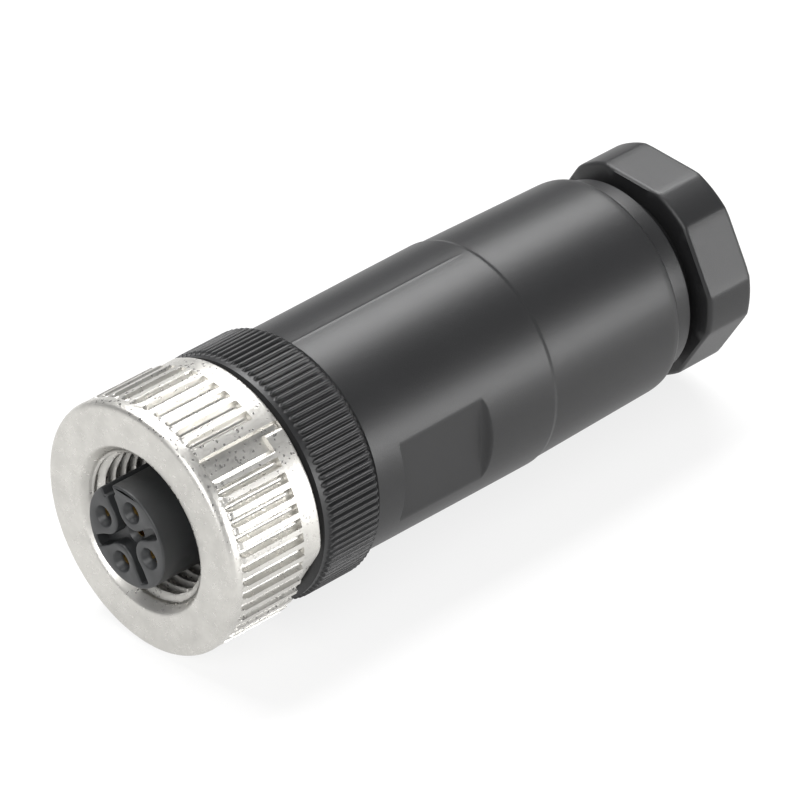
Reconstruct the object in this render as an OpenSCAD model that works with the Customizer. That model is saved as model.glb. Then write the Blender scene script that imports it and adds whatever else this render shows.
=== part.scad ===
// Field-wireable M12 cable socket: a keyed contact insert in a die-cast
// coupling nut, a screw-on barrel and a clamping gland for the cable.
// The axis is X: zero at the coupling nut's front face, + towards the cable.
// Clock angles are measured round X from +Z towards -Y.

/* [Coupling nut] */
// Diameter over the knurl
nut_d = 20; // [19.6:0.1:21]
// Length of the nut
nut_l = 8.75; // [8.4:0.05:9.5]
// Rounding between the front face and the rim
nut_edge = 0.65; // [0.4:0.05:0.8]
// Diameter of the mouth at the front face
mouth_d = 13.3; // [12.8:0.1:13.8]
// Nominal diameter of the coupling thread
thread_d = 12; // [11.9:0.1:12.2]
// Depth of the knurl grooves
knurl_depth = 0.5; // [0.3:0.05:0.6]
// Ridges on each half of the nut
knurl_ridges = 25; // [20:1:28]
// Length of the plain collar behind the knurl
collar_l = 1.75; // [1.5:0.05:2]
// Depth of the two wrench flats on the collar
nut_flat_depth = 1; // [0.7:0.05:1.2]

/* [Contact insert] */
// Diameter of the insert's nose
insert_d = 8.1; // [7.9:0.05:8.2]
// How far the nose stands out of the nut
insert_proud = 1.15; // [0.6:0.05:1.6]
// Diameter of the circle of outer contacts
pitch_circle_d = 5; // [4.8:0.1:5.2]
// Number of outer contacts
outer_contacts = 4; // [3:1:4]
// Diameter of the mating pins
pin_d = 1; // [0.9:0.05:1.1]
// Depth of the cross recess in the nose
cross_depth = 1; // [0.6:0.1:1.4]
// Width of the arms of the cross
cross_w = 0.85; // [0.7:0.05:1]
// Width of the coding groove
key_w = 1.35; // [1.2:0.05:1.5]

/* [Grip ring] */
// How far the ridges stand below the nut's rim
ring_drop = 0.17; // [0.1:0.01:0.4]
// Length of the ring
ring_l = 5.6; // [5:0.1:7]
// Number of ridges
ring_ridges = 102; // [80:2:110]
// Depth of the grooves between the ridges
ring_groove = 0.26; // [0.15:0.01:0.32]

/* [Barrel] */
// Length of the barrel without its rear collar
barrel_l = 31.4; // [30:0.1:36]
// Diameter of the barrel at its front
barrel_d = 18.24; // [18:0.02:18.8]
// Width across the barrel's wrench flats
barrel_flats = 17; // [16.6:0.1:17.4]
// Length of the barrel's wrench flats
flats_l = 8.8; // [6:0.1:10]
// Wall of the barrel round the thread on the grip ring
barrel_wall = 1.17; // [1:0.01:1.4]
// Length of that thread
body_thread_l = 5.8; // [5:0.1:6.5]

/* [Cable gland] */
// How far the gland nut's corners stand over its flats, across the nut
gland_corner = 1.02; // [0.8:0.02:1.4]
// Length of the gland nut's head
gland_head_l = 4.6; // [4:0.1:6]
// Wall of the barrel's rear collar round the gland thread
gland_wall = 1.11; // [0.9:0.01:1.3]
// Length of the gland thread
gland_thread_l = 6; // [5:0.1:7]
// Diameter of the cable entry
entry_d = 8.4; // [7.6:0.1:8.8]
// Gap between barrel and head before tightening
gland_gap = 1.2; // [0.8:0.1:2]
// Fingers of the clamp cage
cage_fingers = 8; // [6:1:10]

/* [Terminals] */
// Diameter of the wire barrels
wire_barrel_d = 3; // [2.8:0.1:3.1]
// Diameter of the wire holes
wire_d = 1.5; // [1.3:0.1:1.6]
// Diameter of the terminal screws
screw_d = 1.9; // [1.8:0.05:2]
// Length of the terminal screws
screw_l = 2.4; // [2.2:0.1:2.6]

/* [Hidden] */
$fn = 96;

// Clearances
running = 0.05;     // radial, between turning pieces and in threads
seat = 0.03;        // between pieces that are assembled once
gap = 0.3;          // between pieces that move past each other
over = 0.5;         // how far a cutting tool runs past a face

// Coupling nut
nut_face_d = nut_d - 2 * nut_edge;
nut_flats = nut_d - 2 * nut_flat_depth;
collar_x = nut_l - collar_l;
rim_x = 1.0;
rim_back_x = 1.35;
rim_lap = 0.2;
mouth_wall = 1.2;
mouth_step = 0.2;
mouth_cone_l = 0.32;
mouth_l = 0.7;
lip_l = 1.15;
lip_bevel = 0.3;
undercut_depth = 0.3;
undercut_d = thread_d + 2 * undercut_depth;
undercut_l = 1;
recess_from = 32.8;
recess_to = 43.6;
ridge_first = 45.6;
ridge_last = 209.2;
ridge_step = (ridge_last - ridge_first) / (knurl_ridges - 1);
ridge_half = 0.21;
ridge_round = 0.04;
rim_drop = 0.03;
knurl_r = nut_d / 2 - rim_drop;
collar_drop = 0.1;
bevel_depth = 0.42;
nut_flat_clock = 120;
nut_bevel = 12;

// Contact insert
flange_d = thread_d - 2 * gap;
flange_l = 1;
thread_wall = 0.8;
neck_d = thread_d - 2 * thread_wall;
lip_front_x = nut_l - lip_l;
flange_x = lip_front_x - gap - flange_l;
first_contact_clock = 14;
cross_clock = first_contact_clock + 45;
key_clock = cross_clock - 90;
key_depth = 0.75;
arm_r = 3.65;
island_r = 1.45;
nose_edge = 0.25;
funnel_d = 1.75;
funnel_depth = 0.55;
socket_d = 1.9;
socket_in = 0.1;
cross_centre = 3.1;
centre_cover = 0.35;
centre_rise = 0.2;
pin_clear = 0.1;
pin_hole_l = 1;
socket_x = -insert_proud + funnel_depth + socket_in;
centre_socket_x = -insert_proud + cross_depth - centre_rise + funnel_depth + socket_in;

// Grip ring
ring_d = nut_d - 2 * ring_drop;
ring_x = nut_l + gap;
ring_back_x = ring_x + ring_l;
ring_collar_l = 0.55;
ring_bevel = 0.35;
sleeve_wall = 1.3;
ring_front_drop = 0.75;
ring_front_bevel = 0.3;
ring_collar_drop = 0.35;
ring_back_bevel = 0.12;
sleeve_lap = 1;
thread_bevel = 0.4;
shank_back = 0.2;
thread_end_x = ring_back_x + body_thread_l;
shank_end_x = ring_back_x - shank_back;

// Seals
front_seal_w = 1.2;
housing_seal_w = 1.1;
housing_groove = 0.55;

// Barrel
barrel_x = ring_back_x + gap;
barrel_end_x = barrel_x + barrel_l;
barrel_edge = 0.15;
body_thread_d = barrel_d - 2 * (barrel_wall + running);
swell = 0.08;
swell_d = barrel_d + 2 * swell;
swell_from = 18;
swell_x = barrel_x + swell_from;
step_down = 0.12;
step_l = 0.4;
tail_drop = 0.36;
tail_d = barrel_d - 2 * tail_drop;
tail_edge = 0.45;
tail_taper = 0.08;
tail_taper_l = 1.4;
end_collar_drop = 0.8;
end_collar_d = tail_d - 2 * end_collar_drop;
end_collar_l = 1.85;
end_collar_edge = 0.2;
barrel_back_x = barrel_end_x + end_collar_l;
flats_from = 2.7;
flats_x = barrel_x + flats_from;
flats_run = 0.7;
flats_rise = 0.25;
flats_lift = 0.75;
chamber_drop = 0.6;
chamber_d = body_thread_d - 2 * chamber_drop;
cage_room = 10.9;
cage_seat_x = barrel_end_x - cage_room;
cage_seat_wall = 1.5;
cage_seat_cone = 1;

// Terminals
block_d = body_thread_d - 2 * sleeve_wall - 2 * seat;
block_x = shank_end_x + seat;
block_l = 11.6;
block_end_x = block_x + block_l;
wire_cover = 1.37;
wire_circle_d = block_d - 2 * wire_cover - wire_barrel_d;
wire_barrel_l = 6.6;
wire_depth = 5;
screw_back = 3.4;
screw_x = block_end_x - screw_back;
tower_l = 4.2;
tower_wall = 0.55;
tower_end_x = block_end_x + tower_l;
tower_d = wire_barrel_d + 2 * tower_wall;
wing_w = 3.2;
wing_l = 3.4;
wing_r = 5.3;
centre_screw_x = tower_end_x - wing_l / 2;
contact_d = 1.5;
contact_clear = 0.08;
contact_lap = 0.4;
block_lap = 0.8;
slot_w = 0.3;
socket_l = 6;
socket_end = 0.5;
head_slot_w = 0.35;
head_slot_depth = 0.7;
screw_bite = 0.2;
outer_tip_r = wire_circle_d / 2 + wire_d / 2 - screw_bite;
centre_tip_r = wire_d / 2 - screw_bite;

// Cable gland
head_x = barrel_back_x + gland_gap;
gland_thread_d = end_collar_d - 2 * (gland_wall + running);
gland_thread_bevel = 0.3;
gland_end_x = head_x + gland_head_l;
gland_front_x = head_x - gland_thread_l;
gland_corner_d = tail_d;
gland_flats = gland_corner_d - gland_corner;
gland_edge = 0.45;
gland_flat_clock = 1;
entry_flare = 0.8;
washer_l = 0.7;
washer_play = 0.15;
washer_bore_d = entry_d + 1;
washer_x = gland_front_x - washer_l - washer_play;
cage_play = 0.1;
cage_x = cage_seat_x + cage_seat_wall + cage_play;
cage_d = gland_thread_d - 2 * gap;
cage_base_l = 1.2;
cage_wall = 0.9;
cage_lip = 0.8;
cage_seat_d = cage_d - 2 * (cage_wall + cage_lip);
cage_end_x = washer_x - 0.5;
cage_tip_l = 0.8;
cage_tip_drop = 0.5;
cage_slot = 0.9;
cage_slot_from = 0.4;
grommet_play = 0.05;
grommet_x = cage_x + cage_base_l + grommet_play;
grommet_d = cage_d - 2 * cage_wall - 2 * grommet_play;
grommet_squeeze = 0.6;
grommet_bore_d = entry_d - 2 * grommet_squeeze;
grommet_end_x = washer_x - washer_play;
grommet_bevel = 0.5;
grommet_rib = 0.3;

// Stands children along X from x on, with clock angle zero at the top.
module axial(x = 0)
    translate([x, 0, 0]) rotate([0, 90, 0]) rotate(180) children();

// Turns children round X to clock angle a: what stands up at +Z points to it.
module at_clock(a)
    rotate([a, 0, 0]) children();

// Turned ring between two diameters and two places on the axis.
module ring(d_out, d_in, x_from, x_to)
    axial(x_from) difference() {
        cylinder(h = x_to - x_from, d = d_out);
        translate([0, 0, -over]) cylinder(h = x_to - x_from + 2 * over, d = d_in);
    }

// Turned solid from [radius, x] points.
module turned(points)
    axial() rotate_extrude() polygon(points);

// Points of a quarter round about [r, x], from one angle to another.
function round_points(r, x, size, from, to, n = 4) =
    [for (i = [0:n]) let (a = from + (to - from) * i / n) [r + size * cos(a), x + size * sin(a)]];

function polar(r, a) = [r * cos(a), r * sin(a)];

// O-ring of section w whose inside lies on diameter d, centred at x.
module o_ring(d, w, x)
    axial(x) rotate_extrude() translate([d / 2 + w / 2, 0]) circle(d = w, $fn = 32);

// One groove and one land of the nut's knurl, after the ridge at clock angle a.
function knurl_pitch_points(a) =
    let (
        r = knurl_r,
        half = ridge_half / r * 180 / PI,
        wide = ridge_step - 2 * half)
    [
        polar(r - ridge_round, a - half),
        polar(r, a - half / 2),
        polar(r, a + half / 2),
        polar(r - ridge_round, a + half),
        polar(r - knurl_depth * 0.75, a + half + wide * 0.22),
        polar(r - knurl_depth, a + half + wide * 0.5),
        polar(r - knurl_depth * 0.75, a + half + wide * 0.78)];

// Outline of one half of the knurled nut, with its plain recess.
function knurl_half_points(turn) = concat(
    [for (i = [0:knurl_ridges - 2]) each knurl_pitch_points(ridge_first + i * ridge_step + turn)],
    [
        polar(knurl_r - ridge_round, ridge_last - 1.4 + turn),
        polar(knurl_r, ridge_last + turn),
        polar(knurl_r, recess_from + 179.6 + turn),
        polar(knurl_r - 2 * ridge_round, recess_from + 180 + turn),
        polar(knurl_r - knurl_depth, recess_from + 180.6 + turn),
        polar(knurl_r - knurl_depth, recess_to + 179.6 + turn),
        polar(knurl_r - knurl_depth * 0.3, recess_to + 180.6 + turn)]);

module nut_collar()
    axial(collar_x) difference() {
        cylinder(h = collar_l, r = nut_d / 2 - collar_drop);
        for (side = [0, 180])
            rotate(nut_flat_clock + side) {
                translate([nut_flats / 2, -nut_d, -over])
                    cube([nut_d, 2 * nut_d, collar_l + 2 * over]);
                for (m = [-1, 1])
                    rotate(m * nut_bevel) translate([nut_d / 2 - bevel_depth, -nut_d, -over])
                        cube([nut_d, 2 * nut_d, collar_l + 2 * over]);
            }
    }

module coupling_nut() color("#c9c8c4") difference() {
    union() {
        axial(rim_x - rim_lap) linear_extrude(collar_x - rim_x + 2 * rim_lap)
            polygon(concat(knurl_half_points(0), knurl_half_points(180)));
        turned(concat(
            [[mouth_d / 2 - mouth_wall, 0], [nut_face_d / 2, 0]],
            round_points(nut_face_d / 2, nut_edge, nut_edge, -90, 0),
            [[nut_d / 2, rim_x], [knurl_r - knurl_depth - rim_lap, rim_back_x],
                [mouth_d / 2 - mouth_wall, rim_back_x]]));
        nut_collar();
    }
    turned([
        [0, -over], [mouth_d / 2 + over, -over], [mouth_d / 2, 0],
        [thread_d / 2 + mouth_step, mouth_cone_l], [thread_d / 2, mouth_l],
        [thread_d / 2, lip_front_x - undercut_l],
        [undercut_d / 2, lip_front_x - undercut_l + undercut_depth], [undercut_d / 2, lip_front_x],
        [neck_d / 2 + running, lip_front_x], [neck_d / 2 + running, nut_l - lip_bevel],
        [neck_d / 2 + running + lip_bevel, nut_l],
        [neck_d / 2 + running + lip_bevel + over, nut_l + over], [0, nut_l + over]]);
}

// Centres of the outer contacts as clock angles.
function contact_clock(i) = first_contact_clock + i * 90;

module cross_recess() {
    axial(-insert_proud - over) linear_extrude(cross_depth + over) difference() {
        union() {
            for (i = [0:3]) rotate(cross_clock + i * 90)
                translate([0, -cross_w / 2]) square([arm_r, cross_w]);
            rotate(cross_clock) square(cross_centre, center = true);
        }
        for (i = [0:3]) rotate(contact_clock(i))
            translate([pitch_circle_d / 2, 0]) circle(r = island_r);
    }
    axial(-insert_proud - over) linear_extrude(flange_x + insert_proud - front_seal_w)
        rotate(key_clock) translate([insert_d / 2 - key_depth, -key_w / 2])
            square([key_depth + over, key_w]);
}

module contact_hole(from_x)
    union() {
        axial(from_x - over) cylinder(h = over + seat, d = funnel_d);
        axial(from_x) cylinder(h = funnel_depth, d1 = funnel_d, d2 = pin_d + pin_clear);
        axial(from_x) cylinder(h = pin_hole_l, d = pin_d + pin_clear);
        axial(from_x + funnel_depth + socket_in) cylinder(h = shank_end_x - from_x, d = socket_d);
    }

module contact_carrier() color("#2a2b2d") difference() {
    turned(concat(
        [[0, -insert_proud]],
        round_points(insert_d / 2 - nose_edge, -insert_proud + nose_edge, nose_edge, -90, 0),
        [
            [insert_d / 2, flange_x], [flange_d / 2, flange_x],
            [flange_d / 2, flange_x + flange_l], [neck_d / 2, flange_x + flange_l],
            [neck_d / 2, shank_end_x], [0, shank_end_x]]));
    cross_recess();
    for (i = [0:outer_contacts - 1])
        at_clock(contact_clock(i)) translate([0, 0, pitch_circle_d / 2])
            contact_hole(-insert_proud);
    contact_hole(-insert_proud + cross_depth - centre_rise);
}

function ring_ridge_points(i) =
    let (r = ring_d / 2, step = 360 / ring_ridges, a = i * step)
    [
        polar(r, a - step * 0.1), polar(r, a + step * 0.1),
        polar(r - ring_groove, a + step * 0.42), polar(r - ring_groove, a + step * 0.58)];

module grip_ring() color("#242527") difference() {
    union() {
        intersection() {
            axial(ring_x) linear_extrude(ring_l)
                polygon([for (i = [0:ring_ridges - 1]) each ring_ridge_points(i)]);
            turned([
                [0, ring_x], [ring_d / 2 - ring_front_drop, ring_x],
                [ring_d / 2 - ring_front_drop + ring_front_bevel, ring_x + ring_front_bevel],
                [ring_d / 2 - ring_collar_drop, ring_x + ring_collar_l],
                [ring_d / 2, ring_x + ring_collar_l + ring_bevel],
                [ring_d / 2, ring_back_x - ring_back_bevel], [ring_d / 2 - ring_back_bevel, ring_back_x],
                [0, ring_back_x]]);
        }
        turned([
            [0, ring_back_x - sleeve_lap], [body_thread_d / 2, ring_back_x - sleeve_lap],
            [body_thread_d / 2, thread_end_x - thread_bevel],
            [body_thread_d / 2 - thread_bevel, thread_end_x],
            [0, thread_end_x]]);
    }
    turned([
        [0, ring_x - over], [neck_d / 2 + seat, ring_x - over], [neck_d / 2 + seat, shank_end_x],
        [block_d / 2 + seat, shank_end_x], [block_d / 2 + seat, thread_end_x + over],
        [0, thread_end_x + over]]);
    ring(body_thread_d + 2 * over, body_thread_d - 2 * housing_groove,
        ring_back_x + gap / 2, ring_back_x + gap / 2 + housing_seal_w);
}

module front_seal() color("#1a1a1b")
    o_ring(insert_d + 2 * seat, front_seal_w, flange_x - front_seal_w / 2 - seat);

module housing_seal() color("#1a1a1b")
    turned([
        [body_thread_d / 2 - housing_groove + seat, ring_back_x + gap / 2 + seat],
        [body_thread_d / 2 - seat, ring_back_x + gap / 2 + seat],
        [body_thread_d / 2 - seat, ring_back_x + gap / 2 + housing_seal_w - seat],
        [body_thread_d / 2 - housing_groove + seat, ring_back_x + gap / 2 + housing_seal_w - seat]]);

// Turned socket contact on the axis: slotted socket, shank and wire barrel.
// The wire barrel stands off the pin's axis by shift, towards clock angle zero.
module contact(from_x, barrel_from_x, barrel_len, shift, clamp_x) difference() {
    union() {
        axial(from_x) cylinder(h = socket_l, d = socket_d - 2 * contact_clear);
        axial(from_x + socket_l - over)
            cylinder(h = barrel_from_x - from_x - socket_l + over + contact_lap, d = contact_d);
        translate([0, 0, shift]) axial(barrel_from_x) cylinder(h = barrel_len, d = wire_barrel_d - 2 * contact_clear);
    }
    axial(from_x - over) cylinder(h = socket_l - socket_end, d = pin_d);
    axial(from_x - over) linear_extrude(socket_l * 0.7) square([slot_w, socket_d + 1], center = true);
    translate([0, 0, shift]) {
        axial(barrel_from_x + barrel_len - wire_depth) cylinder(h = wire_depth + over, d = wire_d);
        translate([clamp_x, 0, 0]) cylinder(h = wire_barrel_d, d = screw_d + 2 * running);
    }
}

module outer_contact(i) color("#c9a54a")
    at_clock(contact_clock(i)) translate([0, 0, pitch_circle_d / 2])
        contact(socket_x, block_end_x - wire_barrel_l, wire_barrel_l,
            (wire_circle_d - pitch_circle_d) / 2, screw_x);

module centre_contact() color("#c9a54a")
    at_clock(cross_clock)
        contact(centre_socket_x, tower_end_x - wire_barrel_l, wire_barrel_l, 0, centre_screw_x);

module contact_1() outer_contact(0);
module contact_2() outer_contact(1);
module contact_3() outer_contact(2);
module contact_4() outer_contact(3);
module contact_5() centre_contact();

// Slotted grub screw standing radially, with its tip at radius r.
module terminal_screw(clock, x, r) color("#b9bbbd")
    at_clock(clock) translate([x, 0, r]) difference() {
        cylinder(h = screw_l, d = screw_d);
        translate([-screw_d, -head_slot_w / 2, screw_l - head_slot_depth])
            cube([2 * screw_d, head_slot_w, screw_l]);
    }

module terminal_screw_1() terminal_screw(contact_clock(0), screw_x, outer_tip_r);
module terminal_screw_2() terminal_screw(contact_clock(1), screw_x, outer_tip_r);
module terminal_screw_3() terminal_screw(contact_clock(2), screw_x, outer_tip_r);
module terminal_screw_4() terminal_screw(contact_clock(3), screw_x, outer_tip_r);
module terminal_screw_5() terminal_screw(cross_clock, centre_screw_x, centre_tip_r);

module terminal_block() color("#3a3c3e") difference() {
    union() {
        axial(block_x) cylinder(h = block_l, d = block_d);
        axial(block_end_x - over) cylinder(h = tower_l + over, d = tower_d);
        at_clock(cross_clock) translate([centre_screw_x - wing_l / 2, -wing_w / 2, 0])
            cube([wing_l, wing_w, wing_r]);
    }
    axial(block_x - over) cylinder(h = block_l + tower_l, d = contact_d + 2 * contact_clear);
    axial(tower_end_x - wire_barrel_l - seat) cylinder(h = wire_barrel_l + over, d = wire_barrel_d);
    at_clock(cross_clock) translate([centre_screw_x, 0, 0])
        cylinder(h = wing_r + over, d = screw_d + 2 * gap);
    for (i = [0:outer_contacts - 1]) at_clock(contact_clock(i)) {
        translate([0, 0, pitch_circle_d / 2]) axial(block_x - over)
            cylinder(h = block_l - wire_barrel_l + over + block_lap, d = contact_d + 2 * contact_clear);
        translate([0, 0, wire_circle_d / 2]) axial(block_end_x - wire_barrel_l - seat)
            cylinder(h = wire_barrel_l + over, d = wire_barrel_d);
        translate([screw_x, 0, wire_circle_d / 2]) cylinder(h = block_d, d = screw_d + 2 * gap);
    }
}

module barrel_outline()
    turned(concat(
        [
            [0, barrel_x], [barrel_d / 2 - barrel_edge, barrel_x], [barrel_d / 2, barrel_x + barrel_edge],
            [swell_d / 2, swell_x - step_l], [swell_d / 2 - step_down, swell_x],
            [tail_d / 2 + tail_taper, barrel_end_x - tail_taper_l]],
        round_points(tail_d / 2 - tail_edge, barrel_end_x - tail_edge, tail_edge, 0, 90),
        [
            [end_collar_d / 2, barrel_end_x], [end_collar_d / 2, barrel_back_x - end_collar_edge],
            [end_collar_d / 2 - end_collar_edge, barrel_back_x], [0, barrel_back_x]]));

// The two wrench flats, square at the front and sloping out at the rear.
module barrel_flat_cut() {
    depth = barrel_d / 2;
    for (side = [-1, 1])
        translate([0, 0, -depth]) linear_extrude(2 * depth)
            polygon([
                [flats_x, side * barrel_flats / 2], [flats_x + flats_l - flats_run, side * barrel_flats / 2],
                [flats_x + flats_l - flats_run * 0.35, side * (barrel_flats / 2 + flats_rise)],
                [flats_x + flats_l, side * (barrel_flats / 2 + flats_lift)],
                [flats_x + flats_l, side * barrel_d], [flats_x, side * barrel_d]]);
}

module barrel() color("#232426") difference() {
    barrel_outline();
    barrel_flat_cut();
    turned([
        [0, barrel_x - over], [body_thread_d / 2 + thread_bevel + over, barrel_x - over],
        [body_thread_d / 2 + thread_bevel, barrel_x], [body_thread_d / 2 + running, barrel_x + thread_bevel],
        [body_thread_d / 2 + running, thread_end_x + gap], [chamber_d / 2, thread_end_x + gap + chamber_drop],
        [chamber_d / 2, cage_seat_x - cage_seat_cone], [cage_seat_d / 2, cage_seat_x],
        [cage_seat_d / 2, cage_seat_x + cage_seat_wall],
        [gland_thread_d / 2 + running, cage_seat_x + cage_seat_wall],
        [gland_thread_d / 2 + running, barrel_back_x - gland_thread_bevel],
        [gland_thread_d / 2 + running + gland_thread_bevel, barrel_back_x],
        [gland_thread_d / 2 + running + gland_thread_bevel + over, barrel_back_x + over],
        [0, barrel_back_x + over]]);
}

module clamp_cage() color("#8d8f90") difference() {
    turned([
        [cage_seat_d / 2, cage_x], [cage_d / 2, cage_x], [cage_d / 2, cage_end_x - cage_tip_l],
        [cage_d / 2 - cage_tip_drop, cage_end_x], [cage_d / 2 - cage_wall, cage_end_x],
        [cage_d / 2 - cage_wall, cage_x + cage_base_l], [cage_seat_d / 2, cage_x + cage_base_l]]);
    for (i = [0:cage_fingers - 1])
        rotate([i * 360 / cage_fingers, 0, 0])
            translate([cage_x + cage_base_l + cage_slot_from, -cage_slot / 2, cage_d / 2 - 2 * cage_wall])
                cube([cage_end_x, cage_slot, 2 * cage_d]);
}

module cable_grommet() color("#4a4b4c")
    turned([
        [grommet_bore_d / 2 + grommet_rib, grommet_x], [grommet_d / 2, grommet_x],
        [grommet_d / 2, grommet_end_x - grommet_bevel], [grommet_d / 2 - grommet_bevel, grommet_end_x],
        [grommet_bore_d / 2, grommet_end_x], [grommet_bore_d / 2, grommet_end_x - 3 * grommet_rib],
        [grommet_bore_d / 2 + grommet_rib, grommet_end_x - 4 * grommet_rib],
        [grommet_bore_d / 2 + grommet_rib, grommet_x + 5 * grommet_rib],
        [grommet_bore_d / 2, grommet_x + 4 * grommet_rib], [grommet_bore_d / 2, grommet_x + grommet_rib]]);

module thrust_washer() color("#d8d6cf")
    ring(cage_d, washer_bore_d, washer_x, washer_x + washer_l);

module gland_nut() color("#1f2022") difference() {
    union() {
        axial(gland_front_x) cylinder(h = gland_thread_l + over, d = gland_thread_d);
        intersection() {
            axial(head_x) linear_extrude(gland_head_l) rotate(gland_flat_clock + 30)
                circle(d = gland_flats / cos(30), $fn = 6);
            turned(concat(
                [[0, head_x]],
                round_points(gland_corner_d / 2 - gland_edge, head_x + gland_edge, gland_edge, -90, 0),
                round_points(gland_corner_d / 2 - gland_edge, gland_end_x - gland_edge, gland_edge, 0, 90),
                [[0, gland_end_x]]));
        }
    }
    turned([
        [0, gland_front_x - over], [entry_d / 2, gland_front_x - over],
        [entry_d / 2, gland_end_x - entry_flare], [entry_d / 2 + entry_flare, gland_end_x],
        [entry_d / 2 + entry_flare + over, gland_end_x + over], [0, gland_end_x + over]]);
}

coupling_nut();
contact_carrier();
grip_ring();
front_seal();
housing_seal();
contact_1();
contact_2();
contact_3();
contact_4();
contact_5();
terminal_block();
terminal_screw_1();
terminal_screw_2();
terminal_screw_3();
terminal_screw_4();
terminal_screw_5();
barrel();
clamp_cage();
cable_grommet();
thrust_washer();
gland_nut();
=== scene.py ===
import math

import bmesh
import bpy
from mathutils import Matrix, Vector, noise


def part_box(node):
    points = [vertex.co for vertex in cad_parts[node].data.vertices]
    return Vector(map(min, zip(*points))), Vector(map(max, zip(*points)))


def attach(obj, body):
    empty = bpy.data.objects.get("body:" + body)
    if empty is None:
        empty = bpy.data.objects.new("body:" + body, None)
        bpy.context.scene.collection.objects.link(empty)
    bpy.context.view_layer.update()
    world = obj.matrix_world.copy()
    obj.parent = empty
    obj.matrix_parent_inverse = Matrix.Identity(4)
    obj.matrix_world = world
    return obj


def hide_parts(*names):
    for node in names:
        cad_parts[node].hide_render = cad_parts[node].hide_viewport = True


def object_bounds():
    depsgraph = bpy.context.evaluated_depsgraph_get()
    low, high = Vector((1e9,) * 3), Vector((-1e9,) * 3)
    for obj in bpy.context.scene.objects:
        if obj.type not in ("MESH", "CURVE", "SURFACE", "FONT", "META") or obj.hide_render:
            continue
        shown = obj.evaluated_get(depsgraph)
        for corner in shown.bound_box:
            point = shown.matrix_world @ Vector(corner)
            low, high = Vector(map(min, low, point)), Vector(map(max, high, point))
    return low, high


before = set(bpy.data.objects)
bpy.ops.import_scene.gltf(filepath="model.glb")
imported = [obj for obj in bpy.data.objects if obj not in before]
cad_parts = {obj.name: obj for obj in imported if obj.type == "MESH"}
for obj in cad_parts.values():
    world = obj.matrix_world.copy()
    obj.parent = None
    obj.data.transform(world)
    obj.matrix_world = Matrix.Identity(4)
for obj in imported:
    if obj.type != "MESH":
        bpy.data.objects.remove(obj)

bl_info = {
    "name": "Field-wireable M12 socket",
    "version": (1, 0, 0),
    "blender": (4, 5, 0),
    "location": "View3D > Sidebar > M12 socket",
    "description": "Dresses a five-pole cable socket with a die-cast coupling nut",
    "category": "Add Mesh",
}

# Lengths in the shape functions are millimetres; the meshes are metres.
# The axis is X, from the nut's face towards the cable. Clock angles go
# round X in degrees, from +Z towards -Y, as they do in the CAD.
MM = 0.001
MERGE, SLIVER = 2e-7, 1e-7
CAD_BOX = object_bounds()
FLOOR_Z = CAD_BOX[0][2]


def linear(code):
    """Linear colour of an sRGB hex value."""
    parts = [int(code[i:i + 2], 16) / 255 for i in (1, 3, 5)]
    return tuple(c / 12.92 if c <= 0.04045 else ((c + 0.055) / 1.055) ** 2.4 for c in parts) + (1.0,)


def length(name, description, mm, **extra):
    """A length property whose default is given in millimetres."""
    return bpy.props.FloatProperty(
        name=name, description=description, default=mm * MM, min=0.0,
        unit="LENGTH", subtype="DISTANCE", precision=5, **extra)


def colour(name, description, code):
    """A colour property whose default is an sRGB hex value."""
    return bpy.props.FloatVectorProperty(
        name=name, description=description, default=linear(code), size=4,
        subtype="COLOR", min=0.0, max=1.0)


class M12NutSizes(bpy.types.PropertyGroup):
    """Sizes of the coupling nut."""
    radius: length("Radius", "Outer radius of the rim", 10.0)
    face: length("Face radius", "Outer radius of the flat front face", 9.35)
    rim: length("Rim length", "Plain rim in front of the knurl", 1.02)
    knurl: length("Knurl depth", "Depth of the grooves", 0.5)
    land: bpy.props.FloatProperty(
        name="Land width", description="Width of a ridge, as an angle",
        default=math.radians(2.5), unit="ROTATION", subtype="ANGLE")
    dip: length("Front dip", "How far the ridges dip behind the rim", 0.1)
    waviness: length("Waviness", "Unevenness of the cast skin", 0.022)
    thread_depth: length("Thread depth", "Height of the coupling thread", 0.54)


class M12InsertSizes(bpy.types.PropertyGroup):
    """Sizes of the contact insert."""
    radius: length("Radius", "Radius of the nose", 4.05)
    island: length("Island radius", "Radius of the land round a contact", 1.45)
    arm: length("Arm width", "Width of the arms of the cross", 0.85)
    edge: length("Edge radius", "Rounding of the moulded edges", 0.16)
    funnel: length("Funnel radius", "Radius of a contact's funnel at the face", 0.875)


class M12BodySizes(bpy.types.PropertyGroup):
    """Sizes of the grip ring, the barrel and the gland nut."""
    ridge: length("Ridge height", "Height of the grip ring's ridges", 0.26)
    flat_edge: length("Flat edge", "Rounding where a wrench flat meets the barrel", 0.1)
    mould_line: length("Mould line", "Height of the line left by the mould halves", 0.03)
    thread_depth: length("Thread depth", "Depth of the threads behind the seals", 0.5)


class M12Colours(bpy.types.PropertyGroup):
    """Colours of the finishes."""
    nickel: colour("Nickel", "Nickel plating on the die casting", "#d3d1cc")
    black: colour("Black polyamide", "Barrel, grip ring and gland nut", "#1c1c1d")
    insert: colour("Insert", "Contact insert", "#2c2d2e")
    grey: colour("Grey plastic", "Terminal block", "#4c4f51")
    rubber: colour("Rubber", "Seals and cable grommet", "#161616")
    gold: colour("Gold", "Plating of the contacts", "#e0bd72")
    steel: colour("Zinc plating", "Terminal screws", "#c3c4c2")
    acetal: colour("Acetal", "Clamp cage", "#9c9d9b")
    washer: colour("Washer", "Thrust washer", "#c9c6bd")
    floor: colour("Floor", "Paper under the connector", "#f4f4f3")


def sizes(context, group):
    """The sizes of one group, in millimetres."""
    held = getattr(context.scene, group)
    return {k: getattr(held, k) / (MM if p.unit == "LENGTH" else 1.0)
            for k, p in held.bl_rna.properties.items()
            if p.type == "FLOAT" and not p.is_array}


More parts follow.
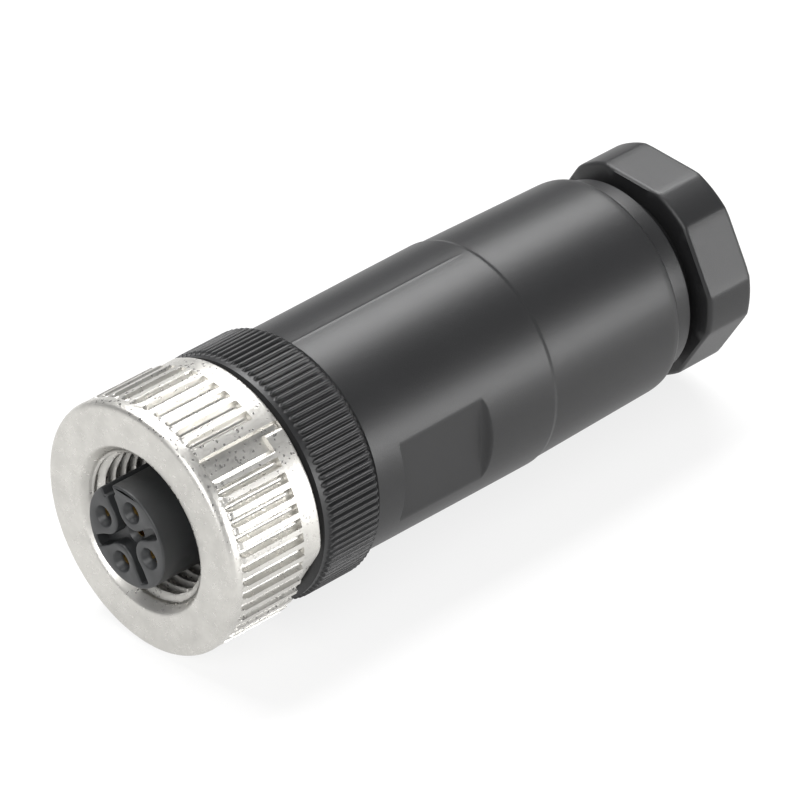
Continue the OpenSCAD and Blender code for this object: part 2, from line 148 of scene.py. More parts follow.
def smooth_step(value, low, high):
    """Smooth rise from 0 at low to 1 at high."""
    t = min(max((value - low) / (high - low), 0.0), 1.0)
    return t * t * (3 - 2 * t)


def soft_min(a, b, width):
    """The smaller of two values, blended where they come within width."""
    h = max(width - abs(a - b), 0.0) / width
    return min(a, b) - h * h * width * 0.25


def arc(x, r, size, start, end, steps):
    """Points of a round about (x, r); 0 degrees is +x and 90 is outwards."""
    turn = [math.radians(start + (end - start) * i / steps) for i in range(steps + 1)]
    return [(x + size * math.cos(a), r + size * math.sin(a)) for a in turn]


def span(start, end, step):
    """Even values from start up to end, end included."""
    n = max(1, round(abs(end - start) / step))
    return [start + (end - start) * i / n for i in range(n + 1)]


def wobble(x, r, clock, size):
    """Slow unevenness between -1 and 1, with bumps about size millimetres."""
    a = math.radians(clock)
    return noise.noise(Vector((x, -r * math.sin(a), r * math.cos(a))) / size)


def place(x, r, clock):
    """Point in metres at a radius and clock angle."""
    a = math.radians(clock)
    return (x * MM, -r * math.sin(a) * MM, r * math.cos(a) * MM)


def piece(name, body, nodes, verts, faces, materials, sharp=35.0):
    """Makes one object of the part that rides on a body and stands for CAD nodes."""
    mesh = bpy.data.meshes.new(name)
    mesh.from_pydata(verts, [], faces)
    bm = bmesh.new()
    bm.from_mesh(mesh)
    bmesh.ops.remove_doubles(bm, verts=bm.verts, dist=MERGE)
    bmesh.ops.dissolve_degenerate(bm, edges=bm.edges, dist=SLIVER)
    bmesh.ops.recalc_face_normals(bm, faces=bm.faces)
    bm.to_mesh(mesh)
    bm.free()
    mesh.shade_smooth()
    mesh.set_sharp_from_angle(angle=math.radians(sharp))
    obj = bpy.data.objects.new(name, mesh)
    bpy.context.scene.collection.objects.link(obj)
    for material in materials:
        mesh.materials.append(material)
    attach(obj, body)
    if nodes:
        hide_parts(*nodes)
    return obj


def turned(profile, clocks, relief=None, closed=True):
    """Vertices and faces of a turned form from (x, r) points.

    relief(k, x, r, clock) moves point k of the profile at a clock angle.
    """
    verts, n = [], len(clocks)
    for k, (x, r) in enumerate(profile):
        for clock in clocks:
            px, pr = relief(k, x, r, clock) if relief else (x, r)
            verts.append(place(px, pr, clock))
    rows = len(profile) if closed else len(profile) - 1
    faces = []
    for k in range(rows):
        a, b = k * n, (k + 1) % len(profile) * n
        faces.extend((a + j, a + (j + 1) % n, b + (j + 1) % n, b + j) for j in range(n))
    return verts, faces


# Materials

def add_node(tree, kind, settings=None, links=None):
    """Adds a node, sets its attributes or inputs, and links its inputs."""
    node = tree.nodes.new(kind)
    for key, value in (settings or {}).items():
        if isinstance(key, str) and hasattr(node, key):
            setattr(node, key, value)
        else:
            node.inputs[key].default_value = value
    for key, socket in (links or {}).items():
        tree.links.new(socket, node.inputs[key])
    return node


def per_mm(mm):
    """Texture scale at which one feature is mm millimetres wide."""
    return 1.0 / (mm * MM)


def new_material(name):
    """An empty material with its output, and the object's own coordinates."""
    material = bpy.data.materials.get(name)
    if material:
        return material, None, None, None
    material = bpy.data.materials.new(name)
    material.use_nodes = True
    tree = material.node_tree
    tree.nodes.clear()
    output = add_node(tree, "ShaderNodeOutputMaterial")
    coords = add_node(tree, "ShaderNodeTexCoord").outputs["Object"]
    return material, tree, output, coords


def nickel_plated_zinc(colours):
    """Zinc die casting with dull nickel: satin metal, grainy, with small bright facets."""
    material, tree, output, coords = new_material("nickel_plated_zinc_casting")
    if not tree:
        return material
    # Cast skin: 0.22 mm grains that tilt the surface, and 1.6 mm cloudiness.
    grain = add_node(tree, "ShaderNodeTexNoise", {"Scale": per_mm(0.22), "Detail": 4.0, "Roughness": 0.65},
                     {"Vector": coords})
    cloud = add_node(tree, "ShaderNodeTexNoise", {"Scale": per_mm(1.6), "Detail": 2.0}, {"Vector": coords})
    # Nickel crystals that catch the light: 0.16 mm cells, drawn coarser than they are.
    cells = add_node(tree, "ShaderNodeTexVoronoi", {"Scale": per_mm(0.16)}, {"Vector": coords})
    pick = add_node(tree, "ShaderNodeSeparateColor", None, {"Color": cells.outputs["Color"]})
    bright = add_node(tree, "ShaderNodeMapRange",
                      {"From Min": 0.86, "From Max": 0.98, "To Min": 0.0, "To Max": 1.0},
                      {"Value": pick.outputs["Red"]})
    tone = add_node(tree, "ShaderNodeValToRGB", None, {"Fac": cloud.outputs["Fac"]})
    base = colours.nickel
    tone.color_ramp.elements[0].position = 0.3
    tone.color_ramp.elements[0].color = (base[0] * 0.88, base[1] * 0.88, base[2] * 0.88, 1.0)
    tone.color_ramp.elements[1].position = 0.7
    tone.color_ramp.elements[1].color = base
    rough = add_node(tree, "ShaderNodeMapRange", {"To Min": 0.42, "To Max": 0.2},
                     {"Value": bright.outputs["Result"]})
    bumps = add_node(tree, "ShaderNodeBump", {"Strength": 0.55, "Distance": 0.02 * MM},
                     {"Height": grain.outputs["Fac"]})
    facets = add_node(tree, "ShaderNodeBump", {"Strength": 0.35, "Distance": 0.02 * MM},
                      {"Height": pick.outputs["Green"], "Normal": bumps.outputs["Normal"]})
    shader = add_node(tree, "ShaderNodeBsdfPrincipled", {"Metallic": 1.0},
                      {"Base Color": tone.outputs["Color"], "Roughness": rough.outputs["Result"],
                       "Normal": facets.outputs["Normal"]})
    tree.links.new(shader.outputs["BSDF"], output.inputs["Surface"])
    return material


def moulded_plastic(name, base, roughness, grain_mm, depth_mm, specular=0.5, ior=1.53):
    """Moulded plastic: dull sheen broken by fine grain, with faint cloudiness."""
    material, tree, output, coords = new_material(name)
    if not tree:
        return material
    grain = add_node(tree, "ShaderNodeTexNoise", {"Scale": per_mm(grain_mm), "Detail": 3.0, "Roughness": 0.6},
                     {"Vector": coords})
    cloud = add_node(tree, "ShaderNodeTexNoise", {"Scale": per_mm(4.0), "Detail": 3.0}, {"Vector": coords})
    tone = add_node(tree, "ShaderNodeValToRGB", None, {"Fac": cloud.outputs["Fac"]})
    tone.color_ramp.elements[0].position = 0.3
    tone.color_ramp.elements[0].color = (base[0] * 0.85, base[1] * 0.85, base[2] * 0.85, 1.0)
    tone.color_ramp.elements[1].position = 0.7
    tone.color_ramp.elements[1].color = tuple(base)
    rough = add_node(tree, "ShaderNodeMapRange", {"To Min": roughness - 0.06, "To Max": roughness + 0.06},
                     {"Value": grain.outputs["Fac"]})
    bumps = add_node(tree, "ShaderNodeBump", {"Strength": 0.6, "Distance": depth_mm * MM},
                     {"Height": grain.outputs["Fac"]})
    shader = add_node(tree, "ShaderNodeBsdfPrincipled",
                      {"IOR": ior, "Specular IOR Level": specular},
                      {"Base Color": tone.outputs["Color"], "Roughness": rough.outputs["Result"],
                       "Normal": bumps.outputs["Normal"]})
    tree.links.new(shader.outputs["BSDF"], output.inputs["Surface"])
    return material


def plated_metal(name, base, roughness):
    """Turned and plated metal: bright, with faint tool rings round the axis."""
    material, tree, output, coords = new_material(name)
    if not tree:
        return material
    # Tool marks every 0.12 mm along the axis.
    wave = add_node(tree, "ShaderNodeTexWave", {"Scale": per_mm(0.12) / 20, "Distortion": 2.0},
                    {"Vector": coords})
    cloud = add_node(tree, "ShaderNodeTexNoise", {"Scale": per_mm(0.8), "Detail": 2.0}, {"Vector": coords})
    tone = add_node(tree, "ShaderNodeValToRGB", None, {"Fac": cloud.outputs["Fac"]})
    tone.color_ramp.elements[0].color = (base[0] * 0.85, base[1] * 0.82, base[2] * 0.78, 1.0)
    tone.color_ramp.elements[1].color = tuple(base)
    rough = add_node(tree, "ShaderNodeMapRange", {"To Min": roughness - 0.05, "To Max": roughness + 0.08},
                     {"Value": cloud.outputs["Fac"]})
    bumps = add_node(tree, "ShaderNodeBump", {"Strength": 0.15, "Distance": 0.01 * MM},
                     {"Height": wave.outputs["Fac"]})
    shader = add_node(tree, "ShaderNodeBsdfPrincipled", {"Metallic": 1.0},
                      {"Base Color": tone.outputs["Color"], "Roughness": rough.outputs["Result"],
                       "Normal": bumps.outputs["Normal"]})
    tree.links.new(shader.outputs["BSDF"], output.inputs["Surface"])
    return material


def black_polyamide(colours):
    """Glass-filled polyamide from a spark-eroded mould: near black with a soft sheen."""
    return moulded_plastic("black_polyamide_moulded", colours.black, 0.42, 0.12, 0.012, 0.42, 1.53)


def insert_plastic(colours):
    """Polyurethane insert, moulded: dark grey, satin."""
    return moulded_plastic("insert_polyurethane_moulded", colours.insert, 0.4, 0.15, 0.008, 0.5, 1.5)


def seal_rubber(colours):
    """Nitrile rubber, moulded: soft black with no clear gloss."""
    return moulded_plastic("nitrile_rubber_moulded", colours.rubber, 0.62, 0.2, 0.01, 0.4, 1.52)


def dress_node(name, material):
    """Gives a CAD node that stays in view its material."""
    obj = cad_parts[name]
    if not obj.material_slots:
        raise RuntimeError(f"{name} has no material slot")
    for held in obj.material_slots:
        held.link = "OBJECT"
        held.material = material


# Coupling nut

RIDGES = 25
RIDGE_FIRST, RIDGE_LAST = 45.6, 209.2
RIDGE_STEP = (RIDGE_LAST - RIDGE_FIRST) / (RIDGES - 1)
RECESS = (32.8, 43.4)
KNURL_END, NUT_END, COLLAR_R = 7.0, 8.75, 9.9
FLAT_CLOCK, NUT_FLAT_HALF = 120.0, 9.0
BEVEL_CLOCK, BEVEL_HALF = 12.0, 9.58


def nut_clocks():
    """Clock angles of the nut's mesh: close together on each ridge's flanks."""
    across = (-1.45, -1.2, -0.9, 0.0, 0.9, 1.2, 1.45, 1.75, 2.15, 2.7, 3.4, 4.1, 4.65, 5.05)
    half = [RIDGE_FIRST + i * RIDGE_STEP + a for i in range(RIDGES - 1) for a in across]
    half += [RIDGE_LAST + a for a in (-1.45, -1.2, -0.9, 0.0, 0.9, 1.8, 2.6, 3.1, 3.35, 3.6, 3.85)]
    half += span(RIDGE_LAST + 4.3, RIDGE_FIRST + 180 - 2.0, 0.75)
    return half + [c + 180 for c in half]


def groove(clock, land):
    """Share of the full groove depth at a clock angle, and how far it is from mid-groove."""
    c = (clock - RIDGE_FIRST) % 180
    if c > (RIDGES - 1) * RIDGE_STEP:
        return (0.0, 1.0)
    middle = (math.floor(c / RIDGE_STEP) + 0.5) * RIDGE_STEP
    half = (RIDGE_STEP - land) / 2
    u = abs(c - middle) / half
    return ((1 - u ** 2.6) ** 0.75 if u < 1 else 0.0), min(u, 1.0)


def recess(clock):
    """Share of the recess's depth at a clock angle."""
    c = clock % 180
    return smooth_step(c, RECESS[0], RECESS[0] + 0.7) * (1 - smooth_step(c, RECESS[1] - 0.3, RECESS[1] + 1.3))


def collar_radius(clock, radius):
    """Radius of the collar with its two wrench flats and their bevels."""
    a = (clock - FLAT_CLOCK + 90) % 180 - 90
    r = soft_min(radius, NUT_FLAT_HALF / math.cos(math.radians(a)), 0.12)
    for side in (-BEVEL_CLOCK, BEVEL_CLOCK):
        if abs(a - side) < 60:
            r = soft_min(r, BEVEL_HALF / math.cos(math.radians(a - side)), 0.06)
    return r


def nut_shell(p):
    """Outside of the nut: face, rim, knurl, collar and back."""
    profile = [(0.62, 6.1), (0.4, 6.28), (0.2, 6.45), (0.09, 6.56), (0.03, 6.66), (0.0, 6.8), (0.0, 7.2),
               (0.0, 7.8), (0.0, 8.4), (0.0, 8.9)]
    edge = p["radius"] - p["face"]
    profile += arc(edge, p["face"], edge, 180, 90, 9)
    first_knurl = len(profile)
    profile += [(x, p["radius"]) for x in
                (0.85, 0.95, 1.03, 1.1, 1.17, 1.24, 1.31, 1.38, 1.46, 1.55, 1.65, 1.78, 1.95)]
    profile += [(x, p["radius"]) for x in span(2.3, 6.6, 0.43)]
    profile += [(x, p["radius"]) for x in (6.8, 6.9, 6.95)]
    first_collar = len(profile)
    profile += [(x, COLLAR_R) for x in (KNURL_END, 7.05, 7.15, 7.4, 7.8, 8.2, 8.5, 8.62, 8.7)]
    first_back = len(profile)
    profile += [(NUT_END, r) for r in (9.78, 9.4, 8.0, 6.6, 5.56)] + [(8.45, 5.26)]
    land = math.degrees(p["land"])

    def relief(k, x, r, clock):
        uneven = p["waviness"] * wobble(x, r, clock, 1.3)
        if k < 4:
            return x, r + uneven * 0.5
        if k < first_knurl - 4:
            return x + uneven * 0.35, r
        if k < first_knurl:
            return x, r + uneven * 0.3 - 0.02
        if k < first_collar:
            share, u = groove(clock, land)
            deep = recess(clock)
            start = p["rim"] + 0.42 * u * u + 1.6 * p["waviness"] * wobble(3.0, r, clock, 0.8)
            cut = p["knurl"] * share * smooth_step(x, start, start + 0.38)
            cut = max(cut, p["knurl"] * deep * smooth_step(x, p["rim"] + 0.05, p["rim"] + 0.35))
            dip = p["dip"] * math.exp(-((x - p["rim"] - 0.22) / 0.2) ** 2) * (1 - share)
            return x, r - 0.03 - max(cut, dip) + uneven * 0.6
        if k < first_back:
            r = collar_radius(clock, r)
            notch = smooth_step(clock % 180, RECESS[0], RECESS[0] + 0.5) \
                * (1 - smooth_step(clock % 180, RECESS[0] + 3.4, RECESS[0] + 4.0))
            edge_in = 0.1 * smooth_step(x, 8.55, 8.72)
            r = r - 0.42 * notch - edge_in + uneven * 0.6
            if k == first_collar:
                x += 0.5 * p["waviness"] * wobble(1.0, r, clock, 0.9)
            return x + (2.2 * p["waviness"] * wobble(x, r, clock, 2.0) - 0.04) * smooth_step(x, 8.4, 8.7), r
        if k == first_back:
            return x - 0.03, min(r, collar_radius(clock, COLLAR_R) - 0.2)
        if k == first_back + 1:
            return x - 0.01, min(r, collar_radius(clock, COLLAR_R) - 0.4)
        return x, r

    return turned(profile, nut_clocks(), relief, closed=False)


def thread_share(x, clock, crest=0.25, root=0.125):
    """Height of a right-hand thread of 1 mm pitch, from root 0 to crest 1."""
    p = abs((x - clock / 360) % 1.0 - 0.5)
    flank = (1.0 - crest - root) / 2
    return min(max((p - root / 2) / flank, 0.0), 1.0)


def nut_bore(p):
    """Inside of the nut: coned mouth, coupling thread, undercut and lip."""
    profile = [(0.62, 6.1), (0.7, 6.04)]
    threads = span(0.78, 6.5, 0.0625)
    profile += [(x, 6.0) for x in threads]
    profile += [(6.6, 6.0), (6.9, 6.3), (7.6, 6.3), (7.6, 5.26), (8.45, 5.26)]

    def relief(k, x, r, clock):
        if 2 <= k < 2 + len(threads):
            fade = smooth_step(x, 0.75, 1.25) * (1 - smooth_step(x, 6.2, 6.5))
            r -= p["thread_depth"] * fade * thread_share(x, clock)
        return x, r

    return turned(profile, span(0, 360, 2.0)[:-1], relief, closed=False)


class M12_OT_coupling_nut(bpy.types.Operator):
    """Die-cast coupling nut with its knurl, wrench flats and thread"""
    bl_idname = "m12.coupling_nut"
    bl_label = "Coupling nut"

    def execute(self, context):
        p = sizes(context, "m12_nut")
        metal = nickel_plated_zinc(context.scene.m12_colours)
        for name, (verts, faces) in (("nut_shell", nut_shell(p)), ("nut_bore", nut_bore(p))):
            piece(name, "coupling_nut", ["coupling_nut"], verts, faces, [metal], 40.0)
        return {"FINISHED"}


# Contact insert

CONTACT_CLOCK, CROSS_CLOCK, KEY_CLOCK = 14.0, 59.0, -31.0
NOSE_X, FLOOR_X, NOSE_END = -1.15, -0.15, 6.3
CIRCLE_R, ARM_END, KEY_HALF, KEY_R = 2.5, 3.65, 0.675, 3.3
HOLE_R, SHANK_END = 0.54, 14.45


def cross_radius(away, p):
    """Radius of the cross recess, away degrees from the middle of an arm."""
    a = abs(away)
    graze = 45 - math.degrees(math.asin(p["island"] / CIRCLE_R))
    if a <= graze:
        return min(ARM_END, p["arm"] / 2 / math.sin(math.radians(max(a, 0.5))))
    b = math.radians(45 - a)
    return CIRCLE_R * math.cos(b) - math.sqrt(max(p["island"] ** 2 - (CIRCLE_R * math.sin(b)) ** 2, 0.0))


def flat(r, clock):
    """Point (y, z) of a face at a radius and clock angle."""
    a = math.radians(clock)
    return (-r * math.sin(a), r * math.cos(a))


def even_loop(points, step, passes):
    """Closed loop resampled to even steps, with its corners eased."""
    n = len(points)
    edges = [math.dist(points[i], points[(i + 1) % n]) for i in range(n)]
    count = max(8, round(sum(edges) / step))
    loop, i, run = [], 0, 0.0
    for k in range(count):
        want = sum(edges) * k / count
        while run + edges[i] < want:
            run += edges[i]
            i += 1
        t = (want - run) / edges[i]
        a, b = points[i], points[(i + 1) % n]
        loop.append((a[0] + (b[0] - a[0]) * t, a[1] + (b[1] - a[1]) * t))
    for _ in range(passes):
        loop = [tuple((loop[k - 1][c] + 2 * loop[k][c] + loop[(k + 1) % count][c]) / 4 for c in (0, 1))
                for k in range(count)]
    return loop


def grown(loop, distance):
    """Closed loop moved sideways; a positive distance moves it to its right."""
    n, out = len(loop), []
    for k in range(n):
        a, b = loop[k - 1], loop[(k + 1) % n]
        dy, dz = b[0] - a[0], b[1] - a[1]
        size = math.hypot(dy, dz) or 1.0
        out.append((loop[k][0] + dz / size * distance, loop[k][1] - dy / size * distance))
    return out


class Sheet:
    """Gathers loops and faces in metres for one mesh."""

    def __init__(self):
        self.verts, self.faces = [], []

    def ring(self, loop, x):
        start = len(self.verts)
        self.verts.extend((x * MM, y * MM, z * MM) for y, z in loop)
        return list(range(start, len(self.verts)))

    def bridge(self, a, b):
        n = len(a)
        self.faces.extend((a[i], a[(i + 1) % n], b[(i + 1) % n], b[i]) for i in range(n))

    def fill(self, rings):
        """Flat face between closed rings."""
        bm = bmesh.new()
        made = {}
        for ring in rings:
            vs = [bm.verts.new(self.verts[i]) for i in ring]
            made.update(zip(vs, ring))
            for i, v in enumerate(vs):
                bm.edges.new((v, vs[(i + 1) % len(vs)]))
        result = bmesh.ops.triangle_fill(bm, edges=bm.edges[:], use_beauty=True, use_dissolve=False)
        found = [f for f in result["geom"] if isinstance(f, bmesh.types.BMFace)]
        if not found:
            raise RuntimeError("a face of the insert didn't fill")
        self.faces.extend(tuple(made[v] for v in f.verts) for f in found)
        bm.free()

    def rounded(self, loop, x, edge, side, steps=3):
        """Rounded edge from a face at x into a wall; gives the face's and the wall's rings."""
        rings = []
        for i in range(steps + 1):
            a = math.radians(90 * i / steps)
            inset = grown(loop, side * edge * (1 - math.sin(a)))
            rings.append(self.ring(inset, x + edge * (1 - math.cos(a))))
        for a, b in zip(rings, rings[1:]):
            self.bridge(a, b)
        return rings[0], rings[-1]

    def circle(self, centre, radius, x, n=40):
        return self.ring([(centre[0] - radius * math.sin(2 * math.pi * i / n),
                           centre[1] + radius * math.cos(2 * math.pi * i / n)) for i in range(n)], x)


def keyed_circle(p):
    """Outline of the nose with its keyway."""
    half = math.degrees(math.asin(KEY_HALF / p["radius"]))
    points = [flat(p["radius"], c) for c in span(KEY_CLOCK + half, KEY_CLOCK + 360 - half, 2.0)]
    inner = math.degrees(math.asin(KEY_HALF / (KEY_R + 0.05)))
    return points + [flat(KEY_R + 0.05, KEY_CLOCK - inner), flat(KEY_R + 0.05, KEY_CLOCK + inner)]


def face_outline(p):
    """Outline of the nose's face: round the outside, then in along the keyway and the cross."""
    half = math.degrees(math.asin(KEY_HALF / p["radius"]))
    inner = math.degrees(math.asin(KEY_HALF / (KEY_R + 0.05)))
    side = math.degrees(math.asin(p["arm"] / 2 / KEY_R))
    points = [flat(p["radius"], c) for c in span(KEY_CLOCK + half, KEY_CLOCK + 360 - half, 1.5)]
    points.append(flat(KEY_R + 0.05, KEY_CLOCK + 360 - inner))
    for c in span(KEY_CLOCK + 360 - side, KEY_CLOCK + side, 0.5):
        points.append(flat(cross_radius((c - CROSS_CLOCK + 45) % 90 - 45, p), c))
    points.append(flat(KEY_R + 0.05, KEY_CLOCK + inner))
    return points


def insert_nose(p):
    """Face, cross recess, funnels and keyed nose of the insert."""
    sheet = Sheet()
    outline = even_loop(face_outline(p), 0.07, 3)
    face, wall = sheet.rounded(outline, NOSE_X, p["edge"], -1, 4)
    floor_ring = sheet.ring(outline, FLOOR_X)
    sheet.bridge(wall, floor_ring)
    holes = []
    for i in range(4):
        centre = flat(CIRCLE_R, CONTACT_CLOCK + 90 * i)
        rings = [sheet.circle(centre, r, x) for r, x in (
            (p["funnel"] + 0.05, NOSE_X), (p["funnel"], NOSE_X + 0.02), (p["funnel"] - 0.06, NOSE_X + 0.09),
            (0.62, NOSE_X + 0.46), (0.56, NOSE_X + 0.53), (HOLE_R, NOSE_X + 0.62), (HOLE_R, NOSE_X + 3.2))]
        for a, b in zip(rings, rings[1:]):
            sheet.bridge(a, b)
        holes.append(rings[0])
    sheet.fill([face] + holes)
    keyed = even_loop(keyed_circle(p), 0.12, 1)
    top = sheet.ring(keyed, FLOOR_X)
    rings = [sheet.circle((0, 0), r, x) for r, x in (
        (0.9, FLOOR_X), (0.86, FLOOR_X + 0.05), (0.56, FLOOR_X + 0.45), (HOLE_R, FLOOR_X + 0.5),
        (HOLE_R, FLOOR_X + 3))]
    for a, b in zip(rings, rings[1:]):
        sheet.bridge(a, b)
    sheet.fill([top, rings[0]])
    sheet.bridge(top, sheet.ring(keyed, NOSE_END - 1.2))
    return sheet.verts, sheet.faces


def insert_shank(p):
    """Flange and shank of the insert, behind the nose."""
    profile = [(5.0, 3.0), (5.0, p["radius"]), (NOSE_END, p["radius"]), (NOSE_END, 5.6), (6.38, 5.7),
               (7.22, 5.7), (7.3, 5.6), (7.3, 5.2), (14.4, 5.2), (SHANK_END, 5.15), (SHANK_END, 3.0)]
    return turned(profile, span(0, 360, 3)[:-1])


class M12_OT_contact_insert(bpy.types.Operator):
    """Contact insert with its cross recess, keyway and contact funnels"""
    bl_idname = "m12.contact_insert"
    bl_label = "Contact insert"

    def execute(self, context):
        p = sizes(context, "m12_insert")
        plastic = insert_plastic(context.scene.m12_colours)
        for name, (verts, faces) in (("insert_nose", insert_nose(p)), ("insert_shank", insert_shank(p))):
            piece(name, "insert_unit", ["contact_carrier"], verts, faces, [plastic], 35.0)
        return {"FINISHED"}


# Grip ring

RING_X, RING_BACK, SLEEVE_END, RING_R = 9.05, 14.65, 20.45, 9.83
RING_RIDGES = 102


def ring_clocks():
    step = 360 / RING_RIDGES
    return [i * step + step * a for i in range(RING_RIDGES)
            for a in (-0.16, -0.08, 0.08, 0.16, 0.26, 0.37, 0.44, 0.56, 0.63, 0.74)]


def grip_ring(p):
    """Grip ring with fine pointed ridges, and its threaded sleeve."""
    step = 360 / RING_RIDGES
    outer = [(x, RING_R) for x in (9.32, 9.45, 9.55, 9.62, 9.69, 9.76, 9.83, 9.9, 10.0, 10.15, 10.4)]
    outer += [(x, RING_R) for x in span(11.0, 14.3, 0.55)] + [(14.5, RING_R), (14.58, RING_R - 0.05)]
    sleeve = [(x, 7.9) for x in span(15.95, 20.1, 0.0834)]
    profile = [(RING_X, 5.25), (RING_X, 8.9), (RING_X + 0.06, 9.1), (RING_X + 0.16, 9.28),
               (RING_X + 0.22, 9.4)]
    first_outer = len(profile)
    profile += outer
    end_outer = len(profile)
    profile += [(RING_BACK, RING_R - 0.25), (RING_BACK, 8.2), (14.8, 7.9), (14.8, 7.35), (15.9, 7.35)]
    first_thread = len(profile)
    profile += sleeve + [(SLEEVE_END, 7.5), (SLEEVE_END, 6.62), (SHANK_END, 6.62), (SHANK_END, 5.25)]

    def relief(k, x, r, clock):
        if first_outer <= k < end_outer:
            u = abs((clock + step / 2) % step - step / 2) / (step / 2)
            ridge = 1 - smooth_step(u, 0.2, 0.92)
            # Each ridge comes to a point at the front and stands on the plain collar.
            grow = smooth_step(x, 9.62 + 0.42 * u, 9.9 + 0.42 * u) * (1 - smooth_step(x, 14.42, 14.6))
            r = r - p["ridge"] * (1 - ridge * grow) - 0.02
        elif first_thread <= k < first_thread + len(sleeve):
            fade = smooth_step(x, 15.9, 16.3)
            r -= p["thread_depth"] * (1 - thread_share(x, clock)) * fade
        return x, r

    return turned(profile, ring_clocks(), relief)


class M12_OT_grip_ring(bpy.types.Operator):
    """Ribbed grip ring with the sleeve that the barrel screws on"""
    bl_idname = "m12.grip_ring"
    bl_label = "Grip ring"

    def execute(self, context):
        verts, faces = grip_ring(sizes(context, "m12_body"))
        piece("grip_ring_ribbed", "insert_unit", ["grip_ring"], verts, faces,
              [black_polyamide(context.scene.m12_colours)], 50.0)
        return {"FINISHED"}


# Seals

class M12_OT_seals(bpy.types.Operator):
    """Front O-ring and the flat seal between grip ring and barrel"""
    bl_idname = "m12.seals"
    bl_label = "Seals"

    def execute(self, context):
        rubber = seal_rubber(context.scene.m12_colours)
        low, high = (Vector(c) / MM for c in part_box("front_seal"))
        ring = arc((low.x + high.x) / 2, high.z - 0.6, 0.6, 0, 345, 23)
        verts, faces = turned(ring, span(0, 360, 3)[:-1])
        piece("front_o_ring", "insert_unit", ["front_seal"], verts, faces, [rubber])
        low, high = (Vector(c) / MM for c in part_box("housing_seal"))
        r, e = high.z, 0.15
        profile = (arc(low.x + e, r - e, e, 180, 90, 3) + arc(high.x - e, r - e, e, 90, 0, 3)
                   + [(high.x, 7.4), (low.x, 7.4)])
        verts, faces = turned(profile, span(0, 360, 3)[:-1])
        piece("housing_flat_seal", "insert_unit", ["housing_seal"], verts, faces, [rubber])
        return {"FINISHED"}


# Barrel

FLAT_FROM, FLAT_TO, FLAT_HALF = 17.65, 26.45, 8.5
BARREL_X, BARREL_END, BARREL_BACK, SWELL_X = 14.95, 46.35, 48.2, 32.95


def barrel_radius(x):
    """Radius of the barrel's outside without its wrench flats."""
    front, swell, tail = 9.12, 9.2, 8.76
    if x < SWELL_X - 0.3:
        return front + (swell - front) * smooth_step(x, BARREL_X, SWELL_X)
    step = swell - 0.12
    if x < SWELL_X + 0.15:
        return swell + (step - swell) * smooth_step(x, SWELL_X - 0.3, SWELL_X + 0.15)
    return step + (tail + 0.08 - step) * (x - SWELL_X - 0.15) / (BARREL_END - 1.4 - SWELL_X)


def barrel(p):
    """Barrel with its wrench flats, mould line and threaded ends."""
    xs = [15.1, 15.3, 16.0, 16.8, 17.3, 17.5, 17.58, 17.62, 17.65, 17.68, 17.74, 17.9] \
        + span(18.5, 25.3, 0.68) + [25.6, 25.72] + span(25.8, 26.5, 0.07) + [26.6, 26.9, 27.6] \
        + span(28.5, 32.3, 0.76) + [32.5, 32.6, 32.7, 32.8, 32.9, 33.0, 33.1, 33.2, 33.4] \
        + span(34.2, 45.0, 0.9) + [45.5]
    profile = [(BARREL_X, 8.85), (BARREL_X + 0.03, 8.98), (BARREL_X + 0.09, 9.07)]
    first = len(profile)
    profile += [(x, barrel_radius(x)) for x in xs]
    last = len(profile)
    r_end = barrel_radius(45.5)
    profile += [(45.75, r_end - 0.02)] + arc(BARREL_END - 0.45, r_end - 0.5, 0.45, 90, 0, 7)
    profile += [(BARREL_END, 8.05), (BARREL_END + 0.04, 7.98), (46.6, 7.96), (48.0, 7.96), (48.12, 7.93),
                (48.18, 7.86), (BARREL_BACK, 7.76), (BARREL_BACK, 7.17), (47.9, 6.86)]
    profile += [(36.95, 6.86), (36.95, 4.8), (35.45, 4.8), (34.45, 7.3), (21.35, 7.3), (20.75, 7.96),
                (15.35, 7.96), (14.95, 8.36)]
    clocks = []
    for half in (0, 180):
        # Close together across the mould line, and where the wrench flats meet the round.
        clocks += [half + a for a in (-3.2, -2.2, -1.7, -1.35, -1.0, -0.65, -0.3, 0.2, 1.2)]
        clocks += span(half + 3, half + 63, 2.5) + span(half + 64.5, half + 71, 0.28)
        clocks += span(half + 73, half + 107, 3.4) + span(half + 109, half + 115.5, 0.28)
        clocks += span(half + 117, half + 174, 2.5)

    def relief(k, x, r, clock):
        if first <= k < last:
            run = smooth_step(x, FLAT_FROM - 0.03, FLAT_FROM + 0.03)
            lift = 0.75 * smooth_step(x, 25.75, FLAT_TO + 0.05) ** 1.4
            if run > 0 and x < FLAT_TO + 0.04:
                side = abs(math.sin(math.radians(clock)))
                if side > 0.5:
                    r = r + (soft_min(r, (FLAT_HALF + lift) / side, p["flat_edge"]) - r) * run
            if x < 31.8:
                line = math.exp(-(((clock + 1.0 + 90) % 180 - 90) / 0.55) ** 2)
                r += p["mould_line"] * line * (1 - smooth_step(x, 31.2, 31.8))
        return x, r

    return turned(profile, clocks, relief)


class M12_OT_barrel(bpy.types.Operator):
    """Screw-on barrel with two wrench flats"""
    bl_idname = "m12.barrel"
    bl_label = "Barrel"

    def execute(self, context):
        verts, faces = barrel(sizes(context, "m12_body"))
        piece("barrel_moulded", "barrel", ["barrel"], verts, faces,
              [black_polyamide(context.scene.m12_colours)], 32.0)
        return {"FINISHED"}


# Cable gland

HEAD_X, GLAND_END, GLAND_FRONT = 49.4, 54.0, 43.4
HEX_CLOCK, HEX_HALF = 1, 8.25
GROMMET_BORE, GROMMET_RIB = 3.6, 0.12


